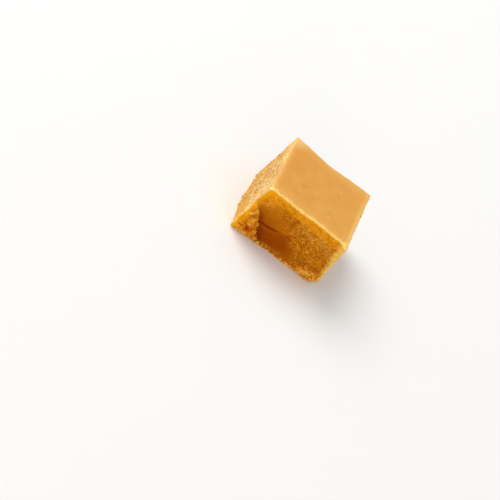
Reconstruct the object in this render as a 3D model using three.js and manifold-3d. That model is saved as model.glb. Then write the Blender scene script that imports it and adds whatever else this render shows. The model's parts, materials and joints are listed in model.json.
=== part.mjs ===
// A knife-cut cube of crumbly fudge: a smooth poured top, four cut and torn sides and a pressed flat base.
// Millimetres, +Z up. The base lies on z = 0 and the bounding box is centred on x = y = 0.

import * as THREE from 'three';
import { mergeVertices } from 'three/addons/utils/BufferGeometryUtils.js';
import { SimplexNoise } from 'three/addons/math/SimplexNoise.js';
import Module from 'manifold-3d';

const wasm = await Module();
wasm.setup();

// --- driving dimensions ---

const topSide = 32;
const height = 22;
const half = topSide / 2;

// How far each corner of the base stands off from the corner above it, [x, y].
const baseLean = {
  frontLeft: [-1.2, -0.3],
  frontRight: [1.6, 1.1],
  backLeft: [-1.6, -2.1],
  backRight: [1.3, -1.2],
};

const sideSegments = 30;
const heightSegments = 20;
const seed = 4127;

// Rolled rim and slow swell of the poured top. Along its left edge it rolls over further, up to the back corner.
const rim = { drop: 0.28, width: 1.6 };
const leftRoll = { drop: 0.45, width: 2.2, fadeFrom: 5, fadeTo: 13 };
const swell = { drop: 0.16, size: 17, shift: 3 };

// Shallow bend in the back cut, deepest where it meets the top, which dips there too.
const backBend = { x: -1, reach: 15, sharpness: 1.4, inward: 1.1, fromLevel: 0.2, drop: 0.6, dipReach: 7 };

// Belly of the left side, along its foot.
const leftBelly = { y: -1, reach: 13, outward: 0.9, falloff: 1.5 };

// The front cut. A smear of the knife crosses it from the upper left down to the right, at smearAngle in the
// cut's own plane. "across" is the distance square to the smear and "along" the distance down it. A crumbly
// patch stands proud on the near side of the ledge, the ledge bows outwards towards the foot, and the crease
// is a curved fold across the smear.
const smearAngle = THREE.MathUtils.degToRad(-49.5);
const smear = { ledge: -2.6, ledgeWidth: 1.5, deepEnd: 1.5, fadeEnd: 7.2, depth: 0.95, undercut: 0.6 };
const ledgeBow = { from: 11, full: 2.5, shift: 2 };
const smearCalm = 0.8;
const crease = { across: 4, along: -9.1, curve: 0.075, depth: 0.5, width: 0.95, fall: 4 };
const footRim = { from: 0.2, to: 2.4 };
const crumbPatch = { proud: 0.3, rough: 1.2, hollowX: -12, hollowZ: 3.4, hollowRadius: 2.1, hollowDepth: 1 };

// The knocked-off corner at the front right foot.
const chippedCorner = { reach: 3.4, depth: 1.1 };

// Wear of the foot, where the bottom edge has crumbled back in places.
const footWear = { depth: 0.9, size: 3.1, shift: 31, height: 1.8 };

// Grain of the cut sides, and the strip below the top that opens where the fudge tore. Its levels are shares
// of the height.
const grain = { lift: 0.1, size: 2.4, depth: 0.13, fineSize: 1.3, fineDepth: 0.09, fineShift: 7 };
const tornStrip = { from: 0.55, full: 0.7, close: 0.87, to: 0.93, depth: 0.9 };
const tearNoise = { size: 3.4, flatten: 2, shift: 19 };
const tornClearOfEdge = { none: 0.4, full: 2.6 };
const sideFinish = {
  front: { rough: 1, torn: 0 },
  left: { rough: 1.2, torn: 0.25 },
  back: { rough: 1.4, torn: 1 },
  right: { rough: 0.9, torn: 0.55 },
};

// Spread of a crumb's three axes round its radius, and the gap that it keeps to the surface below.
const crumbShape = { plan: [0.8, 1.25], tall: [0.7, 1.05], clearance: 0.06 };

// How near a plain face, edge or vertex counts as on it.
const onFace = 1e-3;
const weldDistance = 1e-4;

// --- small maths ---

const clamp01 = (t) => Math.min(1, Math.max(0, t));
const smoothstep = (from, to, value) => {
  const t = clamp01((value - from) / (to - from));
  return t * t * (3 - 2 * t);
};
const bump = (distance, reach) => 1 - smoothstep(0, reach, Math.abs(distance));
const bend = (x) => clamp01(1 - Math.abs(x - backBend.x) / backBend.reach) ** backBend.sharpness;

function seededRandom(start) {
  let state = start;
  return () => {
    state = (state + 0x6d2b79f5) | 0;
    let t = Math.imul(state ^ (state >>> 15), 1 | state);
    t = (t + Math.imul(t ^ (t >>> 7), 61 | t)) ^ t;
    return ((t ^ (t >>> 14)) >>> 0) / 4294967296;
  };
}

const random = seededRandom(seed);
const noise = new SimplexNoise({ random });
const between = (low, high) => low + (high - low) * random();
const field = (x, y, z, size, shift = 0) => noise.noise3d(x / size + shift, y / size - shift, z / size);

// --- relief, as a depth into the block from each plain face ---

function cutGrain(x, y, z, { rough, torn }) {
  const coarse = grain.depth * field(x, y, z, grain.size);
  const fine = grain.fineDepth * field(x, y, z, grain.fineSize, grain.fineShift);
  const level = z / height;
  const opens = smoothstep(tornStrip.from, tornStrip.full, level);
  const closes = 1 - smoothstep(tornStrip.close, tornStrip.to, level);
  const edgeDistance = half - Math.min(Math.abs(x), Math.abs(y));
  const clear = smoothstep(tornClearOfEdge.none, tornClearOfEdge.full, edgeDistance);
  const tear = Math.max(0, field(x, y, tearNoise.flatten * z, tearNoise.size, tearNoise.shift));
  const nearFoot = 1 - smoothstep(0, footWear.height, z);
  const worn = nearFoot * Math.max(0, field(x, y, 0, footWear.size, footWear.shift));
  return grain.lift + rough * (coarse + fine) + footWear.depth * worn +
    torn * tornStrip.depth * opens * closes * clear * tear;
}

function frontRelief(x, y, z) {
  const across = z * Math.cos(smearAngle) - x * Math.sin(smearAngle);
  const along = x * Math.cos(smearAngle) + z * Math.sin(smearAngle);
  const bowed = ledgeBow.shift * (1 - smoothstep(ledgeBow.full, ledgeBow.from, z));
  const pastLedge = smoothstep(-smear.ledgeWidth / 2, smear.ledgeWidth / 2, across - smear.ledge + bowed);
  const aboveFoot = smoothstep(footRim.from, footRim.to, z);
  const inSmear = pastLedge * aboveFoot * (1 - smoothstep(smear.deepEnd, smear.fadeEnd, across));
  const inPatch = 1 - pastLedge;
  const pastCrease = along - crease.along + crease.curve * (across - crease.across) ** 2;
  const groove = crease.depth * Math.exp(-((pastCrease / crease.width) ** 2));
  const undercut = smear.undercut * smoothstep(0, crease.fall, pastCrease);
  const hollowDistance = Math.hypot(x - crumbPatch.hollowX, z - crumbPatch.hollowZ);
  const hollow = crumbPatch.hollowDepth * bump(hollowDistance, crumbPatch.hollowRadius);
  const rough = sideFinish.front.rough - smearCalm * inSmear + crumbPatch.rough * inPatch;
  return cutGrain(x, y, z, { rough, torn: sideFinish.front.torn }) +
    inSmear * (smear.depth + groove + undercut) +
    inPatch * (hollow - crumbPatch.proud);
}

const rollsLeft = (y) => leftRoll.drop * (1 - smoothstep(leftRoll.fadeFrom, leftRoll.fadeTo, y));

function leftRelief(x, y, z) {
  const foot = (1 - z / height) ** leftBelly.falloff;
  const belly = leftBelly.outward * foot * bump(y - leftBelly.y, leftBelly.reach);
  const rolled = rollsLeft(y) * smoothstep(height - leftRoll.width, height, z);
  return cutGrain(x, y, z, sideFinish.left) - belly + rolled;
}

function backRelief(x, y, z) {
  const inward = backBend.inward * smoothstep(backBend.fromLevel, 1, z / height) * bend(x);
  return cutGrain(x, y, z, sideFinish.back) + inward;
}

function rightRelief(x, y, z) {
  return cutGrain(x, y, z, sideFinish.right);
}

// Fall of the top below its plane.
function topRelief(x, y) {
  const edgeDistance = half - Math.max(Math.abs(x), Math.abs(y));
  const rolled = rim.drop * (1 - smoothstep(0, rim.width, edgeDistance)) +
    rollsLeft(y) * (1 - smoothstep(0, leftRoll.width, x + half));
  const slow = swell.drop * (1 + field(x, y, 0, swell.size, swell.shift)) / 2;
  const dip = backBend.drop * bend(x) * smoothstep(half - backBend.dipReach, half, y);
  return rolled + slow + dip;
}

// Carries a point of the plain block (x and y within the half side, z from 0 to height) to the real surface.
function blockPoint(x, y, z) {
  const u = (x + half) / topSide;
  const v = (y + half) / topSide;
  const lean = [0, 1].map((axis) => {
    const front = THREE.MathUtils.lerp(baseLean.frontLeft[axis], baseLean.frontRight[axis], u);
    const back = THREE.MathUtils.lerp(baseLean.backLeft[axis], baseLean.backRight[axis], u);
    return (1 - z / height) * THREE.MathUtils.lerp(front, back, v);
  });
  const point = new THREE.Vector3(x + lean[0], y + lean[1], z);

  if (x < -half + onFace) point.x += leftRelief(x, y, z);
  if (x > half - onFace) point.x -= rightRelief(x, y, z);
  if (y < -half + onFace) point.y += frontRelief(x, y, z);
  if (y > half - onFace) point.y -= backRelief(x, y, z);
  if (z > height - onFace) point.z -= topRelief(x, y);

  const chip = chippedCorner.depth * bump(Math.hypot(x - half, y + half, z), chippedCorner.reach);
  point.x -= chip;
  point.y += chip;
  return point;
}

// --- solids ---

function toSolid(geometry) {
  geometry.deleteAttribute('normal');
  geometry.deleteAttribute('uv');
  const merged = mergeVertices(geometry, weldDistance);
  return new wasm.Manifold(new wasm.Mesh({
    numProp: 3,
    vertProperties: new Float32Array(merged.attributes.position.array),
    triVerts: new Uint32Array(merged.index.array),
  }));
}

function blockSolid() {
  const block = new THREE.BoxGeometry(topSide, topSide, height, sideSegments, sideSegments, heightSegments);
  const position = block.attributes.position;
  for (let i = 0; i < position.count; i += 1) {
    const point = blockPoint(position.getX(i), position.getY(i), position.getZ(i) + height / 2);
    position.setXYZ(i, point.x, point.y, point.z);
  }
  return toSolid(block);
}

// One crumb: a lumpy grain of 20 faces, kept above the base.
function crumbSolid(place, radius) {
  const crumb = new THREE.IcosahedronGeometry(radius, 0);
  crumb.scale(between(...crumbShape.plan), between(...crumbShape.plan), between(...crumbShape.tall));
  crumb.rotateX(between(0, Math.PI));
  crumb.rotateY(between(0, Math.PI));
  crumb.rotateZ(between(0, Math.PI));
  crumb.computeBoundingBox();
  const lowestCentre = crumbShape.clearance - crumb.boundingBox.min.z;
  crumb.translate(place.x, place.y, Math.max(place.z, lowestCentre));
  return toSolid(crumb);
}

// Crumbs that stand proud, row by row: how many, their radii, how deep each is sunk as a share of its radius,
// and a draw of its place on the plain block. The first rows fill the crumbly patch and the broken right foot.
const crumbRows = [
  { count: 9, radius: [0.9, 1.5], sink: 0.6, place: () => [between(-half, -8), -half, between(0.5, 6)] },
  { count: 9, radius: [0.45, 0.85], sink: 0.3, place: () => [between(-half, -7), -half, between(0.4, 7)] },
  { count: 7, radius: [0.9, 1.4], sink: 0.5, place: () => [between(8.5, half), -half, between(1, 5.5)] },
  { count: 7, radius: [0.45, 0.8], sink: 0.3, place: () => [between(7, half), -half, between(0.6, 7)] },
  { count: 9, radius: [0.4, 0.7], sink: 0.35, place: () => [between(-9, 9), -half, between(0.3, 0.9)] },
  { count: 5, radius: [0.5, 0.9], sink: 0.35, place: () => [half, -half, between(2, 8)] },
  { count: 8, radius: [0.45, 0.9], sink: 0.35, place: () => [half, between(-half, half), between(0.3, 1.1)] },
  { count: 8, radius: [0.45, 0.9], sink: 0.35, place: () => [between(-half, half), half, between(0.3, 1.1)] },
  { count: 7, radius: [0.45, 0.9], sink: 0.35, place: () => [-half, between(-half, half), between(0.3, 3)] },
];

function fudgeCube() {
  let solid = blockSolid();
  for (const row of crumbRows) {
    for (let i = 0; i < row.count; i += 1) {
      const radius = between(...row.radius);
      const place = blockPoint(...row.place());
      const inward = new THREE.Vector3(-place.x, -place.y, 0).normalize();
      place.addScaledVector(inward, row.sink * radius);
      solid = solid.add(crumbSolid(place, radius));
    }
  }
  const mesh = solid.getMesh();
  const geometry = new THREE.BufferGeometry();
  geometry.setAttribute('position', new THREE.BufferAttribute(new Float32Array(mesh.vertProperties), 3));
  geometry.setIndex(new THREE.BufferAttribute(new Uint32Array(mesh.triVerts), 1));
  geometry.computeBoundingBox();
  const { min, max } = geometry.boundingBox;
  geometry.translate(-(min.x + max.x) / 2, -(min.y + max.y) / 2, -min.z);
  geometry.computeVertexNormals();
  return geometry;
}

// --- the part ---

const fudge = new THREE.MeshStandardMaterial({ color: 0xe0a453, roughness: 0.62, metalness: 0 });

const cube = new THREE.Mesh(fudgeCube(), fudge);
cube.name = 'fudge_cube';

const part = new THREE.Group();
part.add(cube);

export default part;
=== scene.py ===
import json
import math

import bmesh
import bpy
from mathutils import Matrix, Vector

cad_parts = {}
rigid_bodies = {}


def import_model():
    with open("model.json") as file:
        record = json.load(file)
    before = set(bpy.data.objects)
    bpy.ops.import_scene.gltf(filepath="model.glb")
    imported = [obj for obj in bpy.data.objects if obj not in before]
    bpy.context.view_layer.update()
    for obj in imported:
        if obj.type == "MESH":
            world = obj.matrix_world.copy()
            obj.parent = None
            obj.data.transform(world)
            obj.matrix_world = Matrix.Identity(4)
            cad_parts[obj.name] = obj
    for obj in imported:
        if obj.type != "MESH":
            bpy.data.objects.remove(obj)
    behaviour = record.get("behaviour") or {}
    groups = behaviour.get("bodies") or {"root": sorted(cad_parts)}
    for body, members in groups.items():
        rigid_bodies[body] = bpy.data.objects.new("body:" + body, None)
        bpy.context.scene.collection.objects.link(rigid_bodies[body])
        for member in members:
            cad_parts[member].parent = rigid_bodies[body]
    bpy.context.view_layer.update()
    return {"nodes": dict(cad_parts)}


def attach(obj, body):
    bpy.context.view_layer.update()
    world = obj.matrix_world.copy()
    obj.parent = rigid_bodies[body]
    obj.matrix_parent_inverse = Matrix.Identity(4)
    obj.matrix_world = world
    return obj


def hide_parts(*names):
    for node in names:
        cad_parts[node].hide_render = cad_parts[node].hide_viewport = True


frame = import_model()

mm = 0.001


class Field:
    # a socket that can stand in a formula; plain numbers mix in freely
    def __init__(self, tree, socket):
        self.tree = tree
        self.socket = socket

    def calc(self, operation, *others):
        node = self.tree.nodes.new("ShaderNodeMath")
        node.operation = operation
        for slot, value in zip(node.inputs, (self, *others)):
            plug(self.tree, value, slot)
        return Field(self.tree, node.outputs[0])

    def __add__(self, other):
        return self.calc("ADD", other)

    def __radd__(self, other):
        return self.calc("ADD", other)

    def __sub__(self, other):
        return self.calc("SUBTRACT", other)

    def __rsub__(self, other):
        return constant(self.tree, other).calc("SUBTRACT", self)

    def __mul__(self, other):
        return self.calc("MULTIPLY", other)

    def __rmul__(self, other):
        return self.calc("MULTIPLY", other)

    def size(self):
        return self.calc("ABSOLUTE")

    def most(self, other):
        return self.calc("MAXIMUM", other)

    def ramp(self, start, end):
        # 0 at start, 1 at end, eased; start may be the larger one
        node = self.tree.nodes.new("ShaderNodeMapRange")
        node.interpolation_type = "SMOOTHSTEP"
        low, high, first, last = (start, end, 0.0, 1.0) if start < end else (end, start, 1.0, 0.0)
        for slot, value in zip(node.inputs, (self, low, high, first, last)):
            plug(self.tree, value, slot)
        return Field(self.tree, node.outputs[0])


def plug(tree, value, slot):
    if isinstance(value, Field):
        tree.links.new(value.socket, slot)
    elif isinstance(value, bpy.types.NodeSocket):
        tree.links.new(value, slot)
    else:
        slot.default_value = value


def constant(tree, number):
    node = tree.nodes.new("ShaderNodeValue")
    node.outputs[0].default_value = number
    return Field(tree, node.outputs[0])


def addNode(tree, kind, settings=None, **inputs):
    # settings are the node's own properties, inputs are its sockets by name with _ for a space
    node = tree.nodes.new(kind)
    for key, value in (settings or {}).items():
        setattr(node, key, value)
    for key, value in inputs.items():
        plug(tree, value, node.inputs[key.replace("_", " ")])
    return node


def splitXyz(tree, vector):
    node = addNode(tree, "ShaderNodeSeparateXYZ", Vector=vector)
    return [Field(tree, node.outputs[i]) for i in range(3)]


def joinXyz(tree, x, y, z):
    return addNode(tree, "ShaderNodeCombineXYZ", X=x, Y=y, Z=z).outputs[0]


def vectorMath(tree, operation, first, second=None, result="Vector"):
    # for SCALE the second value is a number, for NORMALIZE there is none
    node = addNode(tree, "ShaderNodeVectorMath", {"operation": operation})
    plug(tree, first, node.inputs[0])
    if second is not None:
        plug(tree, second, node.inputs["Scale" if operation == "SCALE" else 1])
    return node.outputs[result]


def distanceTo(tree, place, point):
    return Field(tree, vectorMath(tree, "DISTANCE", place, point, "Value"))


def oneOver(tree, size):
    # a texture's scale from the size of its features
    return constant(tree, 1.0).calc("DIVIDE", size) if isinstance(size, Field) else 1.0 / size


def noiseAt(tree, vector, size, detail=2.0, roughness=0.5):
    # size is the feature size in the vector's own unit; the result runs from 0 to 1 round 0.5
    node = addNode(tree, "ShaderNodeTexNoise", Vector=vector, Scale=oneOver(tree, size), Detail=detail,
                   Roughness=roughness)
    return Field(tree, node.outputs[0])


def cellsAt(tree, vector, size):
    # distance from the nearest cell centre in cell units, and a random number for each cell
    node = addNode(tree, "ShaderNodeTexVoronoi", Vector=vector, Scale=oneOver(tree, size))
    shade = addNode(tree, "ShaderNodeSeparateXYZ", Vector=node.outputs["Color"])
    return Field(tree, node.outputs["Distance"]), Field(tree, shade.outputs[0])


def groupSocket(tree, name, kind, default=None, output=False):
    socket = tree.interface.new_socket(name, in_out="OUTPUT" if output else "INPUT", socket_type=kind)
    if default is not None:
        socket.default_value = default
    return socket.identifier


def makeModifierTree(name, numbers):
    # a geometry tree with one number input for each entry of the dictionary
    tree = bpy.data.node_groups.new(name, "GeometryNodeTree")
    groupSocket(tree, "Geometry", "NodeSocketGeometry")
    groupSocket(tree, "Geometry", "NodeSocketGeometry", output=True)
    ids = {}
    for key, value in numbers.items():
        ids[key] = groupSocket(tree, key, "NodeSocketFloat", float(value))
    start = tree.nodes.new("NodeGroupInput")
    end = tree.nodes.new("NodeGroupOutput")
    fields = {key: Field(tree, start.outputs[key]) for key in numbers}
    return tree, start, end, fields, ids


def addTreeModifier(thing, tree, ids, numbers):
    modifier = thing.modifiers.new(tree.name, "NODES")
    modifier.node_group = tree
    for key, value in numbers.items():
        modifier[ids[key]] = float(value)
    return modifier


def blurred(tree, value, passes, kind="FLOAT"):
    node = addNode(tree, "GeometryNodeBlurAttribute", {"data_type": kind},
                   Value=value, Iterations=passes)
    return node.outputs[0]


def stored(tree, geometry, name, value, kind="FLOAT", domain="POINT"):
    node = addNode(tree, "GeometryNodeStoreNamedAttribute", {"data_type": kind, "domain": domain},
                   Geometry=geometry, Name=name, Value=value)
    return node.outputs[0]


def readBack(tree, name, kind="FLOAT"):
    return addNode(tree, "GeometryNodeInputNamedAttribute", {"data_type": kind}, Name=name).outputs[0]


def bakedMesh(thing, name):
    # the evaluated shape as a plain mesh on a new object, and the maker object gone
    graph = bpy.context.evaluated_depsgraph_get()
    mesh = bpy.data.meshes.new_from_object(thing.evaluated_get(graph), depsgraph=graph)
    mesh.name = name
    bpy.data.objects.remove(thing)
    made = bpy.data.objects.new(name, mesh)
    bpy.context.scene.collection.objects.link(made)
    return made


# All places below are in millimetres from the middle of the top's square, z up from the base.
blockMiddle = (0.2901, 0.4398)
block = {"height": 22.0, "lean": 1.4}       # the sides come out by the lean at the foot
frontLeftCorner = (-16.2, -15.2, block["height"])
backLeftCorner = (-16.0, 15.5, block["height"])
# the smear slants by its angle in degrees; its ledge and the grain's start are mm across it
knifeSmear = {"angle": -49.5, "ledge": -2.5, "bow": 2.0, "grainFrom": 4.2, "grainFull": 8.4}
knifeCrease = {"across": 4.0, "along": -9.1, "curve": 0.075}
# where the patch gets the painted shade of a hollow
patchHollow = {"x": -12.0, "z": 3.3, "radius": 2.3}


def placeInBlock(tree, metres):
    shifted = vectorMath(tree, "SCALE", metres, 1.0 / mm)
    return vectorMath(tree, "SUBTRACT", shifted, (blockMiddle[0], blockMiddle[1], 0.0))


fudgeBody = {
    "voxel": 0.17,          # mm, before the mesh is thinned
    "triangles": 194000,
    "calm passes": 9,       # rounds the solid's facets off
    "outlook passes": 20,
    "granule size": 0.85,
    "granule height": 0.14,
    "clod size": 2.0,
    "clod height": 0.13,
    "fine size": 0.36,
    "fine height": 0.06,
    "cranny size": 1.5,
    "cranny depth": 0.22,
    "fissure depth": 0.5,
    "ledge lift": 0.35,
    "crease depth": 0.4,
    "lip lift": 0.2,
    "lump size": 1.7,
    "lump height": 0.42,
    "streak depth": 0.05,
    "chip depth": 0.2,
    "wax lift": 0.04,
    "pinhole size": 3.1,
    "pinhole depth": 0.16,
    "base pit depth": 0.12,
    "right edges out": 0.5,     # these two bring back what the rounding takes from the edges
    "back edge out": 0.6,
}


def cutSideTree(numbers, finish):
    tree, start, end, n, ids = makeModifierTree("crumblyCut", numbers)
    metres = tree.nodes.new("GeometryNodeInputPosition").outputs[0]
    normal = tree.nodes.new("GeometryNodeInputNormal").outputs[0]
    calmed = addNode(tree, "GeometryNodeSetPosition", Geometry=start.outputs["Geometry"],
                     Position=blurred(tree, metres, n["calm passes"], "FLOAT_VECTOR")).outputs[0]

    # which way each part of the piece faces, without its small lumps
    outlook = vectorMath(tree, "NORMALIZE", blurred(tree, normal, n["outlook passes"], "FLOAT_VECTOR"))
    shape = stored(tree, calmed, "outlook", outlook, "FLOAT_VECTOR")
    facing = readBack(tree, "outlook", "FLOAT_VECTOR")

    def kept(name, value):
        # worked out once, then read from the mesh by all that use it
        nonlocal shape
        shape = stored(tree, shape, name, value)
        return Field(tree, readBack(tree, name))

    faceX, faceY, faceZ = splitXyz(tree, facing)
    place = placeInBlock(tree, metres)
    x, y, z = splitXyz(tree, place)
    slow = kept("slow", noiseAt(tree, place, 2.2, 3.0) - 0.5)
    ragged = kept("ragged", noiseAt(tree, place, 0.9, 2.0) - 0.5)
    byTop = z.ramp(19.9, 20.8)
    leftWorn = (x + slow * 4.5 + ragged * 2.0).ramp(-15.2, -16.1) * (y + slow * 5.0).ramp(15.0, 12.5)
    leftWorn = leftWorn * (y + slow * 4.0).ramp(-14.5, -11.0)
    fromFront = y - x.ramp(-4.0, 4.0) * 0.35
    frontTurn = byTop * (fromFront + slow * 0.8 + ragged * 1.4).ramp(-15.0, -15.6)
    onTop = faceZ.ramp(0.5, 0.85) * z.ramp(18.5, 20.0) * (1.0 - leftWorn * 0.75)
    onTop = kept("skin", onTop * (1.0 - frontTurn))
    onBase = kept("base", faceZ.ramp(-0.5, -0.85) * z.ramp(2.5, 1.2))
    inFrontCut = (y - z.ramp(6.0, 3.0) * 1.8).ramp(-13.0, -13.6)
    inFrontCut = inFrontCut * x.ramp(-15.6, -14.8) * x.ramp(16.4, 15.6)
    # the front cut, stored as shadedFront: the materials paint it darker and more orange, painted shade
    # with a warm painted bounce
    onFront = kept("shadedFront", faceY.ramp(-0.4, -0.75).most(inFrontCut))
    onLeft = faceX.ramp(-0.4, -0.75) * (1.0 - onFront)
    flattest = faceX.size().most(faceY.size()).most(faceZ.size())
    lean = (block["height"] - z) * (block["lean"] / block["height"])
    outX = x.size() - lean
    byCorner = outX.ramp(14.7, 15.4) * y.size().ramp(13.0, 14.0) * faceZ.size().ramp(0.45, 0.2)
    sharpTurn = flattest.ramp(0.97, 0.8)
    onEdge = sharpTurn * byTop.most(byCorner)
    onFoot = sharpTurn * z.ramp(1.9, 1.1) * (1.0 - onBase)

    # the knife smear across the front, from its ledge at the left to where the grain takes over
    angle = math.radians(knifeSmear["angle"])
    straightAcross = z * math.cos(angle) - x * math.sin(angle)
    along = x * math.cos(angle) + z * math.sin(angle)
    across = straightAcross + slow * 1.6
    fromLedge = across + ragged * 0.9 + z.ramp(11.0, 2.5) * knifeSmear["bow"] - knifeSmear["ledge"]
    pastLedge = fromLedge.ramp(-0.3, 0.3)
    toGrain = (across + slow * 3.0).ramp(knifeSmear["grainFrom"], knifeSmear["grainFull"])
    aboveFoot = (z + slow * 2.6 + ragged * 2.2).ramp(0.3, 1.0)
    belowLumps = (z + slow * 3.0 + (x + slow * 3.0).ramp(-9.5, -13.5) * 3.0).ramp(18.4, 14.6)
    onSmear = kept("smear", onFront * pastLedge * aboveFoot * belowLumps * (1.0 - toGrain))
    fromCrease = straightAcross - knifeCrease["across"]
    pastCrease = along - knifeCrease["along"] + fromCrease * fromCrease * knifeCrease["curve"]
    pastCrease = pastCrease + slow * 0.5
    # the scoop under the crease's overhang, painted darker as its shade
    shadeUnderCrease = onFront * pastLedge * aboveFoot * (across + slow * 2.0).ramp(9.0, 4.6)
    shadeUnderCrease = shadeUnderCrease * pastCrease.ramp(-0.3, 1.4) * pastCrease.ramp(10.5, 6.0)
    creaseLine = onFront * pastLedge * pastCrease.size().ramp(0.75, 0.05) * across.ramp(5.2, 1.0)
    creaseLip = onFront * pastLedge * pastCrease.ramp(0.5, 1.0) * pastCrease.ramp(2.2, 1.2)
    creaseLip = creaseLip * across.ramp(4.0, 0.5)
    # painted shadow that the ledge casts beside it, and painted shade across the scoop near the ledge
    ledgeShadow = onFront * aboveFoot * fromLedge.ramp(-0.3, 0.2) * fromLedge.ramp(2.4, 0.2)
    ledgeShadow = ledgeShadow * z.ramp(12.5, 9.5)
    ledgeShade = onFront * aboveFoot * pastLedge * (fromLedge + slow * 2.0).ramp(6.0, 0.5)
    ledgeShade = ledgeShade * z.ramp(15.0, 9.0)

    # the rest of the front: the band under the top, which gets a painted glow of light through the edge,
    # the patch and the painted shade of its hollow, the broken foot
    topBand = z + slow * 3.4 + ragged * 2.6 + x.ramp(-9.0, -14.0) * 1.3
    underTop = topBand.ramp(block["height"] - 3.8, block["height"] - 2.3)
    hollowX = x - patchHollow["x"]
    hollowZ = (z - patchHollow["z"]) * 1.2
    fromHollow = (hollowX * hollowX + hollowZ * hollowZ).calc("SQRT") + slow * 1.6
    hollowRadius = patchHollow["radius"]
    hollowShadeMask = onFront * (1.0 - pastLedge) * fromHollow.ramp(hollowRadius, hollowRadius * 0.35)
    # a brighter orange strip along the front's left edge: painted glow of light through the edge
    frontEdgeGlow = onFront * (x + lean + slow * 2.4 + ragged * 1.2).ramp(-13.2, -14.6)
    brokenFoot = onFront * (x + slow * 3.0).ramp(8.0, 10.2)
    brokenFoot = brokenFoot * (z + slow * 2.5 + ragged * 2.0).ramp(6.4, 4.2)
    footGlow = onFront * (z + slow * 2.6 + ragged * 2.4).ramp(1.6, 0.4)
    upperLeft = onFront * (x + slow * 3.0).ramp(-7.0, -11.5) * (z + slow * 3.0).ramp(13.0, 16.0)

    # the left cut is paler and closer-grained along its front and top edges and at its front foot
    frontHalf = (y + slow * 4.0).ramp(-3.0, -9.5) * z.ramp(8.0, 13.0) * 0.6
    upperFront = (y + slow * 1.5).ramp(-13.2, -15.8) * z.ramp(9.0, 13.0)
    backTop = (y + slow * 3.0).ramp(3.0, 10.0) * (z + slow * 3.0).ramp(16.0, 19.0)
    upperPale = (z + slow * 3.0).ramp(18.4, 20.6) * ((y + slow * 4.0).ramp(-7.0, 1.0) * 0.6 + 0.2)
    leftPale = (y + slow * 3.0).ramp(-12.2, -14.4).most(upperPale.most(backTop)).most(frontHalf)
    leftPale = onLeft * leftPale * (1.0 - upperFront)
    leftCalm = onLeft * (y + slow * 6.0).ramp(-4.0, -10.5) * (z + slow * 4.0).ramp(8.5, 3.5)
    leftCalm = leftCalm.most(onLeft * backTop * 0.8)

    # granules, clods, crannies and fine grain, all as millimetres outwards
    swirl = addNode(tree, "ShaderNodeTexNoise", Vector=place, Scale=0.9).outputs["Color"]
    loose = vectorMath(tree, "ADD", place, vectorMath(tree, "SCALE", swirl, 0.7))
    pressed = vectorMath(tree, "MULTIPLY", loose, (0.88, 0.88, 1.3))
    granuleDistance, granuleDraw = cellsAt(tree, pressed, n["granule size"])
    grainDistance, grainDraw = cellsAt(tree, pressed, n["granule size"] * 0.52)
    coarse = (0.5 - granuleDistance) * (granuleDraw * 1.1 + 0.5) * (1.0 - onFront * 0.3)
    small = (0.5 - grainDistance) * (grainDraw * 0.8 + 0.1) * (1.0 + onFront * 0.8)
    granules = (coarse + small) * n["granule height"] * 2.0
    clods = (noiseAt(tree, loose, n["clod size"], 3.0, 0.55) - 0.5) * 2.6 * n["clod height"]
    fine = (noiseAt(tree, place, n["fine size"], 1.0) - 0.5) * 2.4 * n["fine height"]
    wander = (noiseAt(tree, loose, n["cranny size"], 2.0, 0.6) - 0.5).size().ramp(0.045, 0.0)
    cracked = (noiseAt(tree, place, 4.5, 2.0) - 0.5).ramp(-0.02, 0.1)
    crannies = wander * cracked * n["cranny depth"]
    layers = vectorMath(tree, "MULTIPLY", loose, (1.0, 1.0, 2.6))
    split = (noiseAt(tree, layers, 5.5, 2.0, 0.5) - 0.5).size().ramp(0.022, 0.0)
    opened = (noiseAt(tree, place, 7.0, 1.0) - 0.5).ramp(-0.03, 0.05)
    fissures = split * opened * (1.0 - onFront) * (1.0 - onLeft * 0.6) * n["fissure depth"]

    # how rough each part is, and where whole lumps stand out
    calm = onSmear.most(leftCalm).most(leftPale * 0.25).most(onFront * underTop * 0.1)
    roughness = (1.0 - onTop) * (1.0 - onBase) * (1.0 - calm * 0.85) * (1.0 - onEdge * 0.5)
    roughness = roughness * (1.0 + onLeft * 0.35 + onFoot * 0.8)
    broken = (onFront * (1.0 - pastLedge)).most(brokenFoot * 0.9).most(footGlow).most(upperLeft * 0.3)
    patch = kept("patch", broken)
    lumpy = onFront * patch.most(underTop * 0.35)
    lumpDistance, lumpDraw = cellsAt(tree, loose, n["lump size"])
    bigLumps = ((0.45 - lumpDistance) * (lumpDraw * 1.2 + 0.6)
                + (noiseAt(tree, loose, 2.3, 2.0, 0.5) - 0.5) * 2.0) * n["lump height"] * lumpy
    bigLumps = bigLumps * (1.0 + brokenFoot * 0.4)
    cutRelief = (granules * (1.0 - lumpy * 0.35) + clods + fine - crannies - fissures) * roughness
    cutRelief = kept("cutRelief", cutRelief + bigLumps)
    streaks = noiseAt(tree, joinXyz(tree, across * 0.3, along * 1.5, y), 1.0, 2.0) - 0.5
    lipEdge = onFront * (x - lean + slow * 1.2 + ragged * 1.6).ramp(14.2, 15.4)
    frontRelief = (onFront * (1.0 - pastLedge) * aboveFoot * n["ledge lift"] + lipEdge * n["lip lift"]
                   - creaseLine * n["crease depth"] + creaseLip * n["lip lift"]
                   + onSmear * streaks * 2.0 * n["streak depth"])

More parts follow.
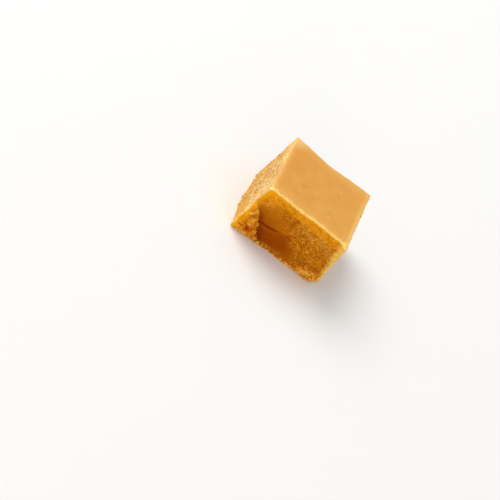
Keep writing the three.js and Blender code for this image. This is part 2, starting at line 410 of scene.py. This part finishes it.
    # small nicks along the edges, and the slow wax swell and pinholes of the poured top
    nicks = onEdge.most(onFoot) * (noiseAt(tree, place, 0.95, 2.0) - 0.52).ramp(0.0, 0.16)
    nicks = nicks * (1.0 - onTop * 0.6)
    wax = (noiseAt(tree, place, 7.5, 2.0) - 0.5) * 2.0 * n["wax lift"]
    holeDistance, holeDraw = cellsAt(tree, joinXyz(tree, x, y, 0.0), n["pinhole size"])
    holes = holeDistance.ramp(0.075, 0.02) * (holeDraw - 0.45).ramp(0.0, 0.05) * n["pinhole depth"]
    topRelief = onTop * (wax - holes)
    pits = onBase * (noiseAt(tree, place, 1.3, 3.0) - 0.58).ramp(0.0, 0.2) * n["base pit depth"]
    height = cutRelief + frontRelief + topRelief - pits - nicks * n["chip depth"]

    # pale rims, lips and corners: painted highlight along the rims and lips, and a pale broken cut at
    # the corner
    highlightBreaks = (noiseAt(tree, place, 1.1, 2.0) - 0.5).ramp(-0.25, 0.1) * 0.45 + 0.55
    rim = onEdge * highlightBreaks * (y.ramp(-12.0, -14.5) * 0.8 + 0.2) * (1.0 - frontTurn)
    faceUp = faceZ.ramp(0.3, 0.7)
    backHalf = (y + slow * 4.0).ramp(-7.0, 1.0) * 0.6 + 0.4
    rightRim = faceUp * (x + slow * 1.6 + ragged * 2.0).ramp(13.7, 15.4)
    rightRim = rightRim * (y.ramp(12.0, -12.0) * 0.25 + 0.55)
    fromCorner = distanceTo(tree, place, frontLeftCorner) + slow * 2.0 + ragged
    cornerPale = fromCorner.ramp(2.4, 0.8) * (1.0 - faceY.ramp(-0.4, -0.7))
    frontLip = onTop * (fromFront + slow * 2.2 + ragged * 3.0).ramp(-13.9, -14.6)
    leftLip = onLeft * (y + slow * 1.6 + ragged).ramp(-13.8, -15.0) * (1.0 - z.ramp(9.0, 13.0) * 0.8)
    spots = (noiseAt(tree, place, 0.75, 1.0) - 0.5).ramp(0.0, 0.14)
    # the lip along the front's right edge gets a painted highlight, with cream spots of painted
    # highlight
    lipPlace = x - lean + slow * 1.2 + ragged * 2.2 + z.ramp(7.0, 20.0) * 1.2 - z.ramp(9.0, 5.0) * 0.4
    lipCream = onFront * lipPlace.ramp(14.8, 15.8) * spots * 0.5
    leftLip = leftLip * (z.ramp(2.0, 9.0) * 0.65 + 0.15)

    # what the materials read from the mesh
    marks = {
        # painted shade under the crease's overhang
        "scoopShade": shadeUnderCrease,
        # painted shade in the crease line and painted shadow beside the ledge
        "shade": creaseLine.most(ledgeShadow * 0.75),
        # a band of painted glow under the top edge, light shining through the edge, brightest just under
        # the top
        "glowBand": onFront * underTop,
        "glowBandTop": onFront * (z + ragged * 1.6).ramp(20.0, 21.3),
        # painted shade in and round the pinholes
        "hole": onTop * holeDistance.ramp(0.13, 0.04) * (holeDraw - 0.4).ramp(0.0, 0.05),
        "foot": onFoot * onFront * (spots * 0.8 + 0.2),
        # painted glow along the front's left edge
        "edge": frontEdgeGlow,
        "upper": upperLeft,
        "upperRight": onFront * (x + slow * 4.0).ramp(-4.0, 2.0) * (z + slow * 2.0).ramp(11.5, 18.0),
        # where the front's painted shade reaches part way onto the right cut
        "towardsFront": faceX.ramp(0.4, 0.75) * (y + slow * 5.0).ramp(8.0, -15.0),
        "leftRim": (x + slow * 2.5 + ragged).ramp(-15.0, -16.6) * faceUp * y.ramp(16.0, 11.0) * backHalf,
        # painted shade of a hollow in the patch
        "hollow": hollowShadeMask,
        # painted shade across the scoop near the ledge
        "depth": ledgeShade,
        "pale": leftPale,
        "calm": leftCalm,
        "warm": onLeft * upperFront,
        # painted highlight on the lip below the crease
        "creaseLipHighlight": creaseLip,
        # painted highlight along the edges of the top and the left cut
        "rim": rim.most(frontLip * highlightBreaks).most(leftLip).most(rightRim),
        # the pale broken corner, and cream spots of painted highlight on the rims and the right lip
        "cream": cornerPale.most(frontLip.most(rim) * spots * 0.45).most(lipCream),
        # painted highlight along the front's right edge
        "lip": onFront * lipPlace.ramp(13.9, 15.6),
        "relief": (cutRelief - nicks * 0.1) * 2.4 + 0.5 - lumpy * 0.1,
    }
    for name, value in marks.items():
        shape = stored(tree, shape, name, value)

    push = vectorMath(tree, "SCALE", facing, height * mm)
    rightEdges = x.ramp(8.0, 15.0) * z.ramp(12.0, 21.0).most(y.ramp(-9.0, -15.0))
    backEdge = y.ramp(8.0, 14.0) * z.ramp(9.0, 21.5)
    sideways = joinXyz(tree, rightEdges * n["right edges out"], backEdge * n["back edge out"], 0.0)
    push = vectorMath(tree, "ADD", push, vectorMath(tree, "SCALE", sideways, mm))
    lifted = vectorMath(tree, "ADD", metres, push)
    liftedX, liftedY, liftedZ = splitXyz(tree, lifted)
    onFloor = joinXyz(tree, liftedX, liftedY, liftedZ.most(0.0))
    shape = addNode(tree, "GeometryNodeSetPosition", Geometry=shape, Position=onFloor).outputs[0]
    shape = addNode(tree, "GeometryNodeSetShadeSmooth", Geometry=shape).outputs[0]
    shape = addNode(tree, "GeometryNodeRealizeInstances", Geometry=shape).outputs[0]
    shape = addNode(tree, "GeometryNodeSetMaterial", Geometry=shape, Material=finish).outputs[0]
    plug(tree, shape, end.inputs[0])
    return tree, ids


def makeFudgeBody(finish):
    solid = frame["nodes"]["fudge_cube"].data.copy()
    solid.materials.clear()
    work = bmesh.new()
    work.from_mesh(solid)
    bmesh.ops.remove_doubles(work, verts=work.verts, dist=0.001 * mm)
    work.to_mesh(solid)
    work.free()
    maker = bpy.data.objects.new("fudgeMaker", solid)
    bpy.context.scene.collection.objects.link(maker)
    remesh = maker.modifiers.new("voxels", "REMESH")
    remesh.mode = "VOXEL"
    remesh.voxel_size = fudgeBody["voxel"] * mm
    sizes = {key: value for key, value in fudgeBody.items() if key not in ("voxel", "triangles")}
    tree, ids = cutSideTree(sizes, finish)
    addTreeModifier(maker, tree, ids, sizes)
    dense = bakedMesh(maker, "fudgeDense")
    dense.data.calc_loop_triangles()
    thin = dense.modifiers.new("thin", "DECIMATE")
    thin.ratio = min(1.0, fudgeBody["triangles"] / len(dense.data.loop_triangles))
    body = bakedMesh(dense, "fudgeBody")
    body.data.calc_loop_triangles()
    print("fudge body:", len(body.data.loop_triangles), "triangles")
    return body


clingingCrumbs = {
    "grain radius": 0.12,       # mm, of the smallest; the spread is the share that the largest add
    "grain spread": 0.9,
    "grains per mm2": 1.9,
    "crumb radius": 0.26,
    "crumb spread": 1.1,
    "crumbs per mm2": 0.15,
    "clod radius": 0.55,
    "clod spread": 0.45,
    "clods per mm2": 0.14,
    "sunk": 0.82,               # share of its radius that a lump goes into the surface
    "lump size": 0.45,
    "lump": 1.1,                # how uneven the lumps are, in mm at the noise's full swing
    "floor gap": 0.01,
}


def scatteredLumps(tree, surface, density, share, radius, spread, sunk, roundness, seed):
    points = addNode(tree, "GeometryNodeDistributePointsOnFaces", {"distribute_method": "RANDOM"},
                     Mesh=surface, Density=density * share * 1e6, Seed=seed)
    inwards = vectorMath(tree, "SCALE", points.outputs["Normal"], radius * sunk * -mm)
    points = addNode(tree, "GeometryNodeSetPosition", Geometry=points.outputs[0], Offset=inwards)
    unit = addNode(tree, "GeometryNodeMeshIcoSphere", Radius=mm, Subdivisions=roundness).outputs[0]

    def draw(low, high, shift):
        node = addNode(tree, "FunctionNodeRandomValue", {"data_type": "FLOAT_VECTOR"}, Seed=seed + shift)
        node.inputs[0].default_value = low
        node.inputs[1].default_value = high
        return node.outputs[0]

    def drawNumber(shift):
        return splitXyz(tree, draw((0.0, 0.0, 0.0), (1.0, 1.0, 1.0), shift))[0]

    turn = draw((0.0, 0.0, 0.0), (math.tau, math.tau, math.tau), 1)
    squash = draw((0.6, 0.6, 0.5), (1.6, 1.3, 1.0), 2)
    bigness = drawNumber(3)
    grown = radius * (bigness * bigness * spread + 1.0)
    lumps = addNode(tree, "GeometryNodeInstanceOnPoints", Points=points.outputs[0], Instance=unit,
                    Rotation=turn, Scale=vectorMath(tree, "SCALE", squash, grown))
    return stored(tree, lumps.outputs[0], "tone", drawNumber(4), domain="INSTANCE")


def crumbTree(numbers, finish):
    tree, start, end, n, ids = makeModifierTree("clingingCrumbs", numbers)
    surface = start.outputs["Geometry"]
    names = ("skin", "base", "smear", "shadedFront", "glowBand", "patch", "hollow", "edge")
    mark = {name: Field(tree, readBack(tree, name)) for name in names}
    place = placeInBlock(tree, tree.nodes.new("GeometryNodeInputPosition").outputs[0])
    x, _, z = splitXyz(tree, place)
    rough = (1.0 - mark["skin"]) * (1.0 - mark["base"]) * (1.0 - mark["smear"])
    patchy = (noiseAt(tree, place, 3.5, 2.0) - 0.5).ramp(-0.14, 0.14)
    nearFoot = z.ramp(3.4, 0.6)
    highUp = z.ramp(block["height"] - 2.2, block["height"] - 1.2)

    # how much of each kind a place gets, as a share of its density
    grainShare = rough * (1.0 - mark["glowBand"] * 0.8) * (patchy * 0.75 + 0.25)
    grainShare = grainShare * (1.0 - mark["shadedFront"] * 0.7) * (1.0 - highUp * 0.8)
    crumbShare = rough * (nearFoot * (mark["shadedFront"] * 2.6 + 0.4) + patchy * 0.3 + mark["patch"] * 0.6)
    crumbShare = crumbShare * (1.0 - highUp) * (1.0 - mark["hollow"]) * (1.0 - mark["edge"] * 0.8)
    crumbShare = crumbShare + mark["shadedFront"] * (1.0 - mark["base"]) * z.ramp(2.2, 0.9) * 4.0
    clodShare = mark["shadedFront"] * mark["patch"] * (1.0 - highUp) * (x.ramp(6.0, 9.0) * 0.6 + 0.4)
    clodShare = clodShare * (1.0 - mark["hollow"]) * (1.0 - mark["edge"])
    grains = scatteredLumps(tree, surface, n["grains per mm2"], grainShare, n["grain radius"],
                            n["grain spread"], n["sunk"], roundness=1, seed=11)
    crumbs = scatteredLumps(tree, surface, n["crumbs per mm2"], crumbShare, n["crumb radius"],
                            n["crumb spread"], n["sunk"], roundness=2, seed=23)
    clods = scatteredLumps(tree, surface, n["clods per mm2"], clodShare, n["clod radius"],
                           n["clod spread"], n["sunk"], roundness=3, seed=37)
    allLumps = tree.nodes.new("GeometryNodeJoinGeometry")
    for lumps in (grains, crumbs, clods):
        tree.links.new(lumps, allLumps.inputs[0])
    real = addNode(tree, "GeometryNodeRealizeInstances", Geometry=allLumps.outputs[0]).outputs[0]
    metres = tree.nodes.new("GeometryNodeInputPosition").outputs[0]
    normal = tree.nodes.new("GeometryNodeInputNormal").outputs[0]
    millimetres = vectorMath(tree, "SCALE", metres, 1.0 / mm)
    lumpy = (noiseAt(tree, millimetres, n["lump size"], 2.0) - 0.5) * n["lump"] * mm
    bent = vectorMath(tree, "ADD", metres, vectorMath(tree, "SCALE", normal, lumpy))
    bentX, bentY, bentZ = splitXyz(tree, bent)
    settled = joinXyz(tree, bentX, bentY, bentZ.most(n["floor gap"] * mm))
    shape = addNode(tree, "GeometryNodeSetPosition", Geometry=real, Position=settled).outputs[0]
    shape = addNode(tree, "GeometryNodeSetShadeSmooth", Geometry=shape).outputs[0]
    shape = addNode(tree, "GeometryNodeSetMaterial", Geometry=shape, Material=finish).outputs[0]
    plug(tree, shape, end.inputs[0])
    return tree, ids


def makeCrumbs(body, finish):
    maker = bpy.data.objects.new("crumbMaker", body.data.copy())
    bpy.context.scene.collection.objects.link(maker)
    tree, ids = crumbTree(clingingCrumbs, finish)
    addTreeModifier(maker, tree, ids, clingingCrumbs)
    crumbs = bakedMesh(maker, "clingingCrumbs")
    crumbs.data.calc_loop_triangles()
    print("crumbs:", len(crumbs.data.loop_triangles), "triangles")
    return crumbs


def shaderGroup(name, inputs, outputs):
    # number or vector inputs with their defaults, number outputs
    tree = bpy.data.node_groups.new(name, "ShaderNodeTree")
    for key, value in inputs.items():
        if isinstance(value, tuple):
            groupSocket(tree, key, "NodeSocketVector", value)
        else:
            groupSocket(tree, key, "NodeSocketFloat", value)
    for key in outputs:
        groupSocket(tree, key, "NodeSocketFloat", output=True)
    start = tree.nodes.new("NodeGroupInput")
    end = tree.nodes.new("NodeGroupOutput")
    return tree, start, end


def sugarGrainGroup():
    # fine crystal grain: a height for the bump and a mask of the pale crystals
    inputs = {"Place": (0.0, 0.0, 0.0), "Size": 0.3}
    tree, start, end = shaderGroup("sugarGrain", inputs, ["Height", "Pale"])
    place = start.outputs["Place"]
    scale = oneOver(tree, Field(tree, start.outputs["Size"]))
    cells = addNode(tree, "ShaderNodeTexVoronoi", Vector=place, Scale=scale)
    fine = addNode(tree, "ShaderNodeTexNoise", Vector=place, Scale=scale * 2.4, Detail=2.0)
    distance = Field(tree, cells.outputs["Distance"])
    draw = splitXyz(tree, cells.outputs["Color"])[0]
    grit = Field(tree, fine.outputs[0])
    plug(tree, (1.0 - distance) * 0.7 + grit * 0.5, end.inputs["Height"])
    plug(tree, draw.ramp(0.55, 0.95) * distance.ramp(0.6, 0.2) * grit.ramp(0.3, 0.6), end.inputs["Pale"])
    return tree


def mottleGroup():
    # slow uneven colour: where the paste is paler, and where it is deeper
    inputs = {"Place": (0.0, 0.0, 0.0), "Patch": 6.0}
    tree, start, end = shaderGroup("caramelMottle", inputs, ["Pale", "Deep"])
    place = start.outputs["Place"]
    scale = oneOver(tree, Field(tree, start.outputs["Patch"]))
    shifted = vectorMath(tree, "ADD", place, (31.0, -17.0, 9.0))
    wide = addNode(tree, "ShaderNodeTexNoise", Vector=place, Scale=scale, Detail=3.0)
    other = addNode(tree, "ShaderNodeTexNoise", Vector=shifted, Scale=scale * 1.7, Detail=3.0)
    plug(tree, Field(tree, wide.outputs[0]).ramp(0.42, 0.68), end.inputs["Pale"])
    plug(tree, Field(tree, other.outputs[0]).ramp(0.45, 0.7), end.inputs["Deep"])
    return tree


def placedGroup(tree, group, **inputs):
    node = tree.nodes.new("ShaderNodeGroup")
    node.node_tree = group
    for key, value in inputs.items():
        plug(tree, value, node.inputs[key])
    return {socket.name: Field(tree, socket) for socket in node.outputs}


def mixed(tree, factor, first, second):
    # colours as (r, g, b) or sockets
    node = addNode(tree, "ShaderNodeMix", {"data_type": "RGBA", "clamp_factor": True})
    plug(tree, factor, node.inputs[0])
    for slot, colour in ((node.inputs[6], first), (node.inputs[7], second)):
        plug(tree, (*colour, 1.0) if isinstance(colour, tuple) else colour, slot)
    return node.outputs[2]


def painted(tree, colour, *layers):
    # each layer is its share and its colour, laid over what is there
    for share, over in layers:
        colour = mixed(tree, share, colour, over)
    return colour


def marksOf(tree, *names):
    # what the mesh carries, by name
    mark = {}
    for name in names:
        node = addNode(tree, "ShaderNodeAttribute", {"attribute_name": name})
        mark[name] = Field(tree, node.outputs["Fac"])
    return mark


fudgeLook = {
    "skin": (0.72, 0.333, 0.068),
    "skin gold": (0.80, 0.42, 0.078),
    "skin pale": (0.82, 0.43, 0.105),
    "skin deep": (0.69, 0.30, 0.055),
    "dry": (0.74, 0.40, 0.115),
    "dry pale": (0.98, 0.76, 0.39),
    # painted shade in the crannies, also the crumb's random deeper tone
    "dry deep": (0.42, 0.17, 0.03),
    "dry low shade": (0.69, 0.335, 0.055),
    "dry warm": (0.86, 0.44, 0.06),
    # the front cut: the crumb painted darker and more orange, painted shade with a warm painted bounce
    "shadedFront": (0.53, 0.165, 0.002),
    "shadedFront pale": (0.93, 0.47, 0.04),
    "shadedFront deep": (0.33, 0.078, 0.001),
    "patch": (0.84, 0.33, 0.004),
    "patch pale": (1.0, 0.57, 0.10),
    "patch deep": (0.42, 0.06, 0.001),
    # the bright orange of the painted glow through the edges
    "edge": (0.97, 0.43, 0.009),
    # the colour of the painted highlight on the lips
    "lip": (1.0, 0.62, 0.12),
    "cream": (1.0, 0.86, 0.50),
    "smear": (0.49, 0.145, 0.001),
    # painted shade under the crease and beside the ledge; it also gives the smear its random deeper tone
    "scoopShade": (0.32, 0.053, 0.0005),
    "shade": (0.24, 0.034, 0.0005),
    "glowBand": (0.91, 0.355, 0.002),
    # the painted highlight along the edges; also the colour of the top's pale scratches
    "rim": (1.0, 0.70, 0.20),
    "hole": (0.42, 0.16, 0.02),
    "skin roughness": 0.5,
    "dry roughness": 0.85,
    "smear roughness": 0.6,
    "specular": 0.03,
    "wax": 0.2,               # thin gloss of the poured top
    "wax roughness": 0.35,
    "scratch size": 1.9,      # mm between the short pale scratches of the top
    "glow": 0.4,              # share of light that goes under the surface
    "glow depth": 0.0011,
    "glow tint": (1.0, 0.45, 0.15),     # red light goes deepest
}


def fudgeMaterial(look, sugarGrain, caramelMottle):
    material = bpy.data.materials.new("fudge")
    material.use_nodes = True
    tree = material.node_tree
    shader = tree.nodes["Principled BSDF"]
    place = placeInBlock(tree, tree.nodes.new("ShaderNodeTexCoord").outputs["Object"])
    x, y, z = splitXyz(tree, place)
    mark = marksOf(tree, "skin", "base", "shadedFront", "smear", "patch", "relief", "hole", "leftRim", "rim",
                   "cream", "pale", "calm", "warm", "towardsFront", "upper", "upperRight", "glowBand",
                   "glowBandTop", "hollow", "depth", "scoopShade", "creaseLipHighlight", "edge", "lip", "foot", "shade")
    smear = mark["smear"]
    patch = mark["patch"]
    smooth = mark["skin"].most(mark["base"])
    # raised crumb is painted paler and sunk crumb darker: painted highlight on the tips and painted
    # shade in the crannies
    raised = mark["relief"].ramp(0.45, 0.95)
    sunk = mark["relief"].ramp(0.5, 0.05)
    grain = placedGroup(tree, sugarGrain, Place=place, Size=0.42)
    dust = placedGroup(tree, sugarGrain, Place=place, Size=0.16)
    mottle = placedGroup(tree, caramelMottle, Place=place, Patch=6.5)
    lumps = placedGroup(tree, caramelMottle, Place=place, Patch=1.8)
    speckle = placedGroup(tree, caramelMottle, Place=place, Patch=0.7)

    # the poured top; its scratches are all drawn out the same way
    drawnOut = joinXyz(tree, x * 0.32 + y * 0.24, y - x * 0.75, 0.0)
    scratchDistance, scratchDraw = cellsAt(tree, drawnOut, look["scratch size"])
    scratches = scratchDistance.ramp(0.15, 0.05) * scratchDraw.ramp(0.8, 0.86)
    # the top painted paler near its sides and ends: painted highlight along its edges, with the random
    # mottle
    nearSide = x.most(y.size()).ramp(10.0, 16.0)
    nearEnds = y.ramp(-9.0, -15.5).most(y.ramp(9.5, 14.5))
    backCorner = distanceTo(tree, place, backLeftCorner).ramp(6.5, 1.0)
    skinColour = painted(
        tree, look["skin"],
        ((x * 0.6 - y * 0.8).ramp(-12.0, 14.0) * 0.35, look["skin gold"]),
        (mottle["Pale"] * 0.3 + nearSide * 0.4, look["skin pale"]),
        (mottle["Deep"] * 0.28 + speckle["Deep"] * 0.16, look["skin deep"]),
        # painted shade in and round the pinholes
        (mark["hole"] * 0.6, look["hole"]),
        (scratches * 0.4, look["rim"]),
        (nearEnds * 0.45, look["skin pale"]),
        ((mark["leftRim"] * 0.5).most(backCorner * 0.4), look["dry pale"]),
    )

    # the dry crumb of the left, right and back cuts
    dryColour = painted(
        tree, look["dry"],
        (raised * 0.85 + grain["Pale"] * 0.6, look["dry pale"]),
        (sunk + speckle["Deep"] * 0.4, look["dry deep"]),
        (mark["pale"] * 0.5 * (1.0 - sunk * 0.8), look["dry pale"]),
        (mark["calm"] * 0.7, look["skin pale"]),
        (mark["warm"] * 0.8, look["dry warm"]),
        # the left cut painted darker towards the bottom: painted shade towards the foot
        (z.ramp(9.8, 4.0) * 0.76, look["dry low shade"]),
    )

    # the front cut: its crumb and golden patch painted darker and more orange as painted shade with a
    # warm painted bounce, then the smear, the band's painted glow, the lips' painted highlight and the
    # painted shade
    # the smear's random deeper tone uses the colour of the painted scoop shade
    smearColour = painted(
        tree, look["smear"],
        (speckle["Deep"] * 0.3 + mottle["Deep"] * 0.3, look["scoopShade"]),
        (grain["Pale"] * z.ramp(10.0, 16.0) * 0.85, look["shadedFront pale"]),
    )
    # the band under the top edge: a painted glow of light through the edge
    glowBandColour = painted(
        tree, look["glowBand"],
        (lumps["Pale"] * 0.6 + grain["Pale"] * 0.5, look["edge"]),
        (mark["glowBandTop"] * 0.8, look["edge"]),
        (speckle["Deep"] * 0.4 + sunk * 0.4, look["shadedFront"]),
        (raised * 0.5 + grain["Pale"] * 0.5, look["edge"]),
    )
    paleColour = mixed(tree, patch, look["shadedFront pale"], look["patch pale"])
    deepColour = mixed(tree, patch, look["shadedFront deep"], look["patch deep"])
    # painted shade in the crannies with the random deeper tone
    deepShare = sunk * (0.9 - patch * 0.4) + speckle["Deep"] * 0.4
    goldenPatch = patch * (z.ramp(5.5, 9.5) * 0.22 + lumps["Pale"] * 0.42)
    paleRight = mark["upperRight"] * (raised * 0.3 + grain["Pale"] * 0.6 + lumps["Pale"] * 0.2 + 0.03)
    shadedFrontColour = painted(
        tree, look["shadedFront"],
        (patch * 0.85, look["patch"]),
        (raised * 0.9 + grain["Pale"] * 0.7, paleColour),
        (deepShare * (1.0 - mark["upperRight"] * 0.4), deepColour),
        (mark["upper"] * (1.0 - speckle["Deep"]) * 0.65, look["patch"]),
        # the front painted darker towards the bottom: painted shade towards the foot
        (z.ramp(10.5, 4.0) * (1.0 - patch) * 0.4, look["shadedFront deep"]),
        (patch * lumps["Deep"] * 0.3, look["patch deep"]),
        (goldenPatch * (1.0 - sunk * 0.7), look["patch pale"]),
        (mark["hollow"] * (1.0 - grain["Pale"]) * 0.85, look["patch deep"]),
        (smear * 0.85, smearColour),
        (mark["depth"] * 0.6, look["scoopShade"]),
        (mark["scoopShade"] * 0.8, look["scoopShade"]),
        (mark["creaseLipHighlight"] * 0.4, look["smear"]),
        (mark["glowBand"] * 0.7, glowBandColour),
        (paleRight * (1.0 - mark["glowBand"] * 0.75), look["patch pale"]),
        (mark["edge"] * 0.75, look["edge"]),
        (mark["lip"] * (raised * 0.3 + 0.65), look["lip"]),
        (mark["foot"] * 0.7, look["shadedFront pale"]),
        (mark["shade"], look["shade"]),
    )

    # the front's painted shade, carried part way onto the right cut near the front
    colour = painted(
        tree, dryColour,
        (mark["shadedFront"].most(mark["towardsFront"] * 0.55), shadedFrontColour),
        (smooth, skinColour),
        # painted highlight along the edges
        (mark["rim"] * 0.75, look["rim"]),
        (mark["cream"] * 0.9, look["cream"]),
    )
    plug(tree, colour, shader.inputs["Base Color"])

    rough = look["dry roughness"] + (look["skin roughness"] - look["dry roughness"]) * smooth
    rough = rough + (look["smear roughness"] - look["dry roughness"]) * smear * (1.0 - smooth)
    plug(tree, rough + dust["Height"] * 0.06, shader.inputs["Roughness"])
    plug(tree, mark["skin"] * look["wax"], shader.inputs["Coat Weight"])
    shader.inputs["Coat Roughness"].default_value = look["wax roughness"]
    crystals = grain["Height"] * (1.0 - smooth) * (1.0 - smear * 0.8)
    bumpHeight = crystals + dust["Height"] * (0.35 - smooth * 0.27)
    bump = addNode(tree, "ShaderNodeBump", Strength=0.8, Distance=0.1 * mm, Height=bumpHeight)
    plug(tree, bump.outputs[0], shader.inputs["Normal"])
    shader.inputs["Specular IOR Level"].default_value = look["specular"]
    shader.inputs["Subsurface Weight"].default_value = look["glow"]
    shader.inputs["Subsurface Radius"].default_value = look["glow tint"]
    shader.inputs["Subsurface Scale"].default_value = look["glow depth"]
    return material


crumbLook = {
    "dry": (0.78, 0.46, 0.15),
    "dry pale": (0.94, 0.70, 0.36),
    # crumbs on the front: painted darker and more orange, painted shade with a warm painted bounce
    "shadedFront": (0.62, 0.20, 0.003),
    "shadedFront pale": (1.0, 0.50, 0.05),
    "patch": (0.90, 0.36, 0.005),
    "patch pale": (1.0, 0.56, 0.07),
    # painted highlight on crumbs along the front's right edge
    "lip": (1.0, 0.66, 0.17),
    "foot": (1.0, 0.62, 0.17),
    "specular": 0.03,
}


def crumbMaterial(look, sugarGrain):
    material = bpy.data.materials.new("fudgeCrumbs")
    material.use_nodes = True
    tree = material.node_tree
    shader = tree.nodes["Principled BSDF"]
    place = placeInBlock(tree, tree.nodes.new("ShaderNodeTexCoord").outputs["Object"])
    mark = marksOf(tree, "tone", "patch", "shadedFront", "towardsFront", "lip")
    tone = mark["tone"]
    dust = placedGroup(tree, sugarGrain, Place=place, Size=0.16)
    byFoot = splitXyz(tree, place)[2].ramp(3.0, 1.2)
    paleColour = mixed(tree, mark["patch"], look["shadedFront pale"], look["patch pale"])
    # crumbs on the front take the front cut's painted shade
    shadedFrontColour = painted(
        tree, look["shadedFront"],
        (mark["patch"], look["patch"]),
        (tone * 0.7 + dust["Pale"] * 0.4, paleColour),
        # painted highlight on crumbs along the front's right edge
        (mark["lip"] * 0.8, look["lip"]),
        (byFoot * (tone * 0.5 + 0.2), look["foot"]),
    )
    colour = painted(
        tree, look["dry"],
        (tone * 0.8 + dust["Pale"] * 0.5, look["dry pale"]),
        (mark["shadedFront"].most(mark["towardsFront"] * 0.7), shadedFrontColour),
    )
    plug(tree, colour, shader.inputs["Base Color"])
    plug(tree, 0.72 + tone * 0.15, shader.inputs["Roughness"])
    bump = addNode(tree, "ShaderNodeBump", Strength=0.6, Distance=0.05 * mm, Height=dust["Height"])
    plug(tree, bump.outputs[0], shader.inputs["Normal"])
    shader.inputs["Specular IOR Level"].default_value = look["specular"]
    return material


studio = {
    "floor": (0.94, 0.945, 0.95),
    "floor radius": 3.0,        # metres
    "sky": (1.0, 0.995, 0.985),
    "sky strength": 0.60,
    # where each lamp stands from the piece, its distance and size in metres, its watts and its colour
    "lamps": {
        "key": ((-0.62, 0.36, 0.70), 2.0, 1.5, 27.0, (1.0, 0.985, 0.96)),
        "warmFill": ((0.15, -1.0, 0.12), 1.5, 1.0, 5.5, (1.0, 0.80, 0.50)),
    },
}


def makeStudio():
    bpy.context.scene.view_settings.view_transform = "Standard"
    world = bpy.data.worlds.new("paleRoom")
    world.use_nodes = True
    bpy.context.scene.world = world
    background = world.node_tree.nodes["Background"]
    background.inputs["Color"].default_value = (*studio["sky"], 1.0)
    background.inputs["Strength"].default_value = studio["sky strength"]

    bpy.ops.mesh.primitive_circle_add(vertices=96, radius=studio["floor radius"], fill_type="NGON")
    floor = bpy.context.object
    floor.name = "floor"
    paper = bpy.data.materials.new("palePaper")
    paper.use_nodes = True
    tree = paper.node_tree
    shader = tree.nodes["Principled BSDF"]
    fibre = noiseAt(tree, tree.nodes.new("ShaderNodeTexCoord").outputs["Object"], 0.02, 3.0)
    soft = tuple(0.99 * part for part in studio["floor"])
    plug(tree, mixed(tree, fibre, studio["floor"], soft), shader.inputs["Base Color"])
    shader.inputs["Roughness"].default_value = 0.9
    shader.inputs["Specular IOR Level"].default_value = 0.1
    floor.data.materials.append(paper)

    for name, (direction, distance, size, watts, tint) in studio["lamps"].items():
        light = bpy.data.lights.new(name, "AREA")
        light.shape = "DISK"
        light.size = size
        light.energy = watts
        light.color = tint
        lamp = bpy.data.objects.new(name, light)
        bpy.context.scene.collection.objects.link(lamp)
        aim = Vector(direction).normalized()
        lamp.location = aim * distance
        lamp.rotation_mode = "QUATERNION"
        lamp.rotation_quaternion = aim.to_track_quat("Z", "Y")


shot = {
    "azimuth": -11.606,
    "elevation": 39.686,
    "roll": 45.759,             # the camera's right side tips up
    "lens": 106.875,
    "topMiddle": (23.728, 19.254, 491.692),     # mm right of, above and ahead of the camera
}


def makeCamera():
    azimuth, elevation, roll = (math.radians(shot[key]) for key in ("azimuth", "elevation", "roll"))
    level = Vector((math.cos(azimuth), math.sin(azimuth), 0.0))
    back = Vector((math.sin(azimuth) * math.cos(elevation), -math.cos(azimuth) * math.cos(elevation),
                   math.sin(elevation)))
    rise = back.cross(level)
    right = math.cos(roll) * level + math.sin(roll) * rise
    up = back.cross(right)
    toRight, toTop, ahead = shot["topMiddle"]
    topMiddle = Vector((*blockMiddle, block["height"]))
    eye = topMiddle - right * toRight - up * toTop + back * ahead
    data = bpy.data.cameras.new("camera")
    data.lens = shot["lens"]
    data.clip_start = 0.01
    camera = bpy.data.objects.new("camera", data)
    bpy.context.scene.collection.objects.link(camera)
    turn = Matrix((right, up, back)).transposed().to_4x4()
    camera.matrix_world = Matrix.Translation(eye * mm) @ turn
    bpy.context.scene.camera = camera


print("materials")
sugarGrain = sugarGrainGroup()
caramelMottle = mottleGroup()
fudge = fudgeMaterial(fudgeLook, sugarGrain, caramelMottle)
crumb = crumbMaterial(crumbLook, sugarGrain)

print("fudge body")
body = makeFudgeBody(fudge)
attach(body, "root")
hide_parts("fudge_cube")

print("clinging crumbs")
crumbs = makeCrumbs(body, crumb)
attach(crumbs, "root")

print("studio")
makeStudio()
makeCamera()
